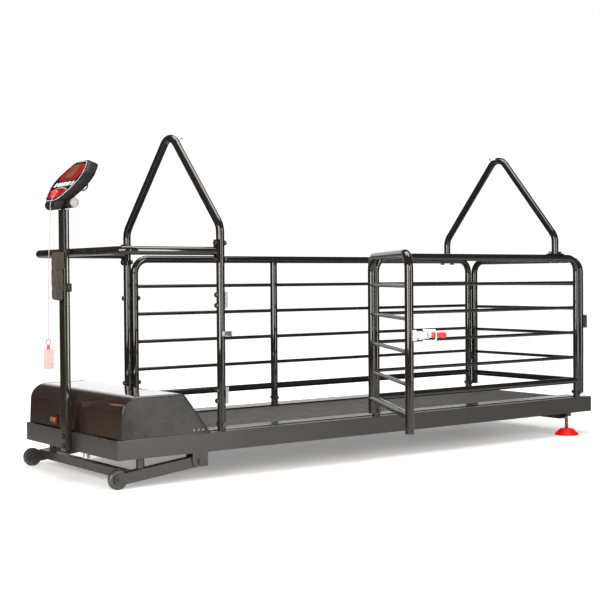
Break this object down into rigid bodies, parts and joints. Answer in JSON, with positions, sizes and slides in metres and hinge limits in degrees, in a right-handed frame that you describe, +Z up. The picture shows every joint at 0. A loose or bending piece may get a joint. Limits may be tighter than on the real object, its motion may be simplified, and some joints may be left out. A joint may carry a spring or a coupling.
{
  "type": "dog treadmill",
  "caption": "Railed dog treadmill: a motor-driven running belt between tube side panels with a swinging side gate and rear gate, leash arches, a console on a mast, wheels and levelling feet.",
  "frame": {"origin": "centre of the bounding box's underside, on the floor, cord left out", "axes": "+X from the motor end to the rear, +Y to the far side from the side gate, +Z up"},
  "size_m": [2.6365, 1.4676, 1.3323],
  "materials": {
    "rail_paint": "satin",
    "black_rubber": "matt",
    "deck_board": "matt",
    "running_belt": "fine diamond texture",
    "black_gloss": "gloss",
    "tube_paint": "gloss",
    "zinc": "bright zinc",
    "cast": "matt",
    "fin_alloy": "satin",
    "hood_paint": "gloss",
    "pouch_cloth": "matt",
    "red_plastic": "gloss",
    "wheel_rubber": "gloss",
    "console_plastic": "satin",
    "white_plastic": "satin",
    "green_plastic": "gloss",
    "cord": "matt",
    "clip_plastic": "translucent",
    "foot_rubber": "satin"
  },
  "bodies": {
    "base": {"side_rails": "rail_paint", "end_caps": "black_rubber", "front_plate": "rail_paint", "motor_pan": "rail_paint", "cross_members": "rail_paint", "deck_board": "deck_board", "deck_cushions": "black_rubber", "running_belt": "running_belt", "foot_rails": "black_gloss", "bearing_blocks": "cast", "hood_shell": "hood_paint", "hood_sides": "hood_paint", "drive_motor": "cast", "motor_controller": "fin_alloy", "drive_belt": "black_rubber", "lift_motor": "cast", "lift_brackets": "rail_paint", "bump_stops": "black_rubber", "mast": "tube_paint", "handlebar": "tube_paint", "front_arch": "tube_paint", "rear_arch": "tube_paint", "leash_rings": "zinc", "far_panel_hoop": "tube_paint", "far_panel_rods": "tube_paint", "near_panel_hoop": "tube_paint", "near_panel_rods": "tube_paint", "frame_bolts": "zinc", "gate_strikes": "zinc", "hinge_pins": "zinc", "switch_housing": "black_gloss", "pouch": "pouch_cloth"},
    "side_gate": {"side_gate_hoop": "tube_paint", "side_gate_rods": "tube_paint", "latch_base": "zinc"},
    "latch_lever": {"latch_lever": "zinc", "latch_grip": "red_plastic"},
    "latch_hook": {"latch_hook": "zinc"},
    "rear_gate": {"rear_gate_hoop": "tube_paint", "rear_gate_rods": "tube_paint", "rear_catch": "black_rubber"},
    "lift": {"lift_frame": "rail_paint"},
    "near_wheel": {"near_wheel": "wheel_rubber"},
    "far_wheel": {"far_wheel": "wheel_rubber"},
    "lift_screw": {"lift_screw": "zinc"},
    "front_roller": {"front_roller": "zinc"},
    "rear_roller": {"rear_roller": "zinc"},
    "motor_pulley": {"motor_pulley": "zinc"},
    "console": {"console_body": "console_plastic", "console_fascia": "red_plastic"},
    "key_1": {"key_1": "white_plastic"},
    "key_2": {"key_2": "white_plastic"},
    "key_3": {"key_3": "white_plastic"},
    "safety_key": {"safety_key": "red_plastic", "lanyard": "cord", "lanyard_clip": "clip_plastic"},
    "on_button": {"on_button": "green_plastic"},
    "off_button": {"off_button": "red_plastic"},
    "near_foot": {"near_foot": "foot_rubber"},
    "far_foot": {"far_foot": "foot_rubber"}
  },
  "joints": [
    {"name": "side_gate_swing", "type": "hinge", "parent": "base", "child": "side_gate", "pos_m": [-0.04017, -0.05617, 0.5], "axis": [0, 0, 1], "range_deg": [-61.2, 50]},
    {"name": "latch_lever_throw", "type": "hinge", "parent": "side_gate", "child": "latch_lever", "pos_m": [-0.35278, -0.68084, 0.542], "axis": [0, 0, 1], "range_deg": [0, 88]},
    {"name": "latch_hook_swing", "type": "hinge", "parent": "latch_lever", "child": "latch_hook", "pos_m": [-0.34051, -0.68758, 0.542], "axis": [0, 0, 1], "range_deg": [-110, 5]},
    {"name": "rear_gate_swing", "type": "hinge", "parent": "base", "child": "rear_gate", "pos_m": [1.24783, 0.68283, 0.5], "axis": [0, 0, 1], "range_deg": [0, 75]},
    {"name": "lift_pivot", "type": "hinge", "parent": "base", "child": "lift", "pos_m": [-0.89117, 0.31983, 0.073], "axis": [0, -1, 0], "range_deg": [0, 20]},
    {"name": "near_wheel_spin", "type": "hinge", "parent": "lift", "child": "near_wheel", "pos_m": [-1.22317, -0.04117, 0.036], "axis": [0, 1, 0], "continuous": true},
    {"name": "far_wheel_spin", "type": "hinge", "parent": "lift", "child": "far_wheel", "pos_m": [-1.22317, 0.68083, 0.036], "axis": [0, 1, 0], "continuous": true},
    {"name": "lift_screw_drive", "type": "slide", "parent": "base", "child": "lift_screw", "axis": [0, 0, -1], "range_m": [0, 0.0985]},
    {"name": "front_roller_spin", "type": "hinge", "parent": "base", "child": "front_roller", "pos_m": [-0.90017, 0.31983, 0.1423], "axis": [0, 1, 0], "continuous": true},
    {"name": "rear_roller_spin", "type": "hinge", "parent": "base", "child": "rear_roller", "pos_m": [1.23783, 0.31983, 0.1423], "axis": [0, 1, 0], "continuous": true},
    {"name": "motor_spin", "type": "hinge", "parent": "base", "child": "motor_pulley", "pos_m": [-1.09517, 0.31983, 0.174], "axis": [0, 1, 0], "continuous": true},
    {"name": "console_tilt", "type": "hinge", "parent": "base", "child": "console", "pos_m": [-1.24017, 0.31983, 1.036], "axis": [0, 1, 0], "range_deg": [0, 15]},
    {"name": "key_1_press", "type": "slide", "parent": "console", "child": "key_1", "axis": [0.766, 0, -0.6428], "range_m": [0, 0.0015], "stiffness_N_per_m": 600},
    {"name": "key_2_press", "type": "slide", "parent": "console", "child": "key_2", "axis": [0.766, 0, -0.6428], "range_m": [0, 0.0015], "stiffness_N_per_m": 600},
    {"name": "key_3_press", "type": "slide", "parent": "console", "child": "key_3", "axis": [0.766, 0, -0.6428], "range_m": [0, 0.0015], "stiffness_N_per_m": 600},
    {"name": "safety_key_pull", "type": "slide", "parent": "console", "child": "safety_key", "axis": [-0.766, 0, 0.6428], "range_m": [0, 0.03]},
    {"name": "on_button_press", "type": "slide", "parent": "base", "child": "on_button", "axis": [1, 0, 0], "range_m": [0, 0.003], "stiffness_N_per_m": 500},
    {"name": "off_button_press", "type": "slide", "parent": "base", "child": "off_button", "axis": [1, 0, 0], "range_m": [0, 0.003], "stiffness_N_per_m": 500},
    {"name": "near_foot_screw", "type": "slide", "parent": "base", "child": "near_foot", "axis": [0, 0, -1], "range_m": [0, 0.02]},
    {"name": "far_foot_screw", "type": "slide", "parent": "base", "child": "far_foot", "axis": [0, 0, -1], "range_m": [0, 0.02]}
  ],
  "couplings": [
    {"joint": "rear_roller_spin", "follows": "front_roller_spin", "ratio": 1},
    {"joint": "motor_spin", "follows": "front_roller_spin", "ratio": 1.7368},
    {"joint": "lift_screw_drive", "follows": "lift_pivot", "m_per_rad": 0.28}
  ]
}
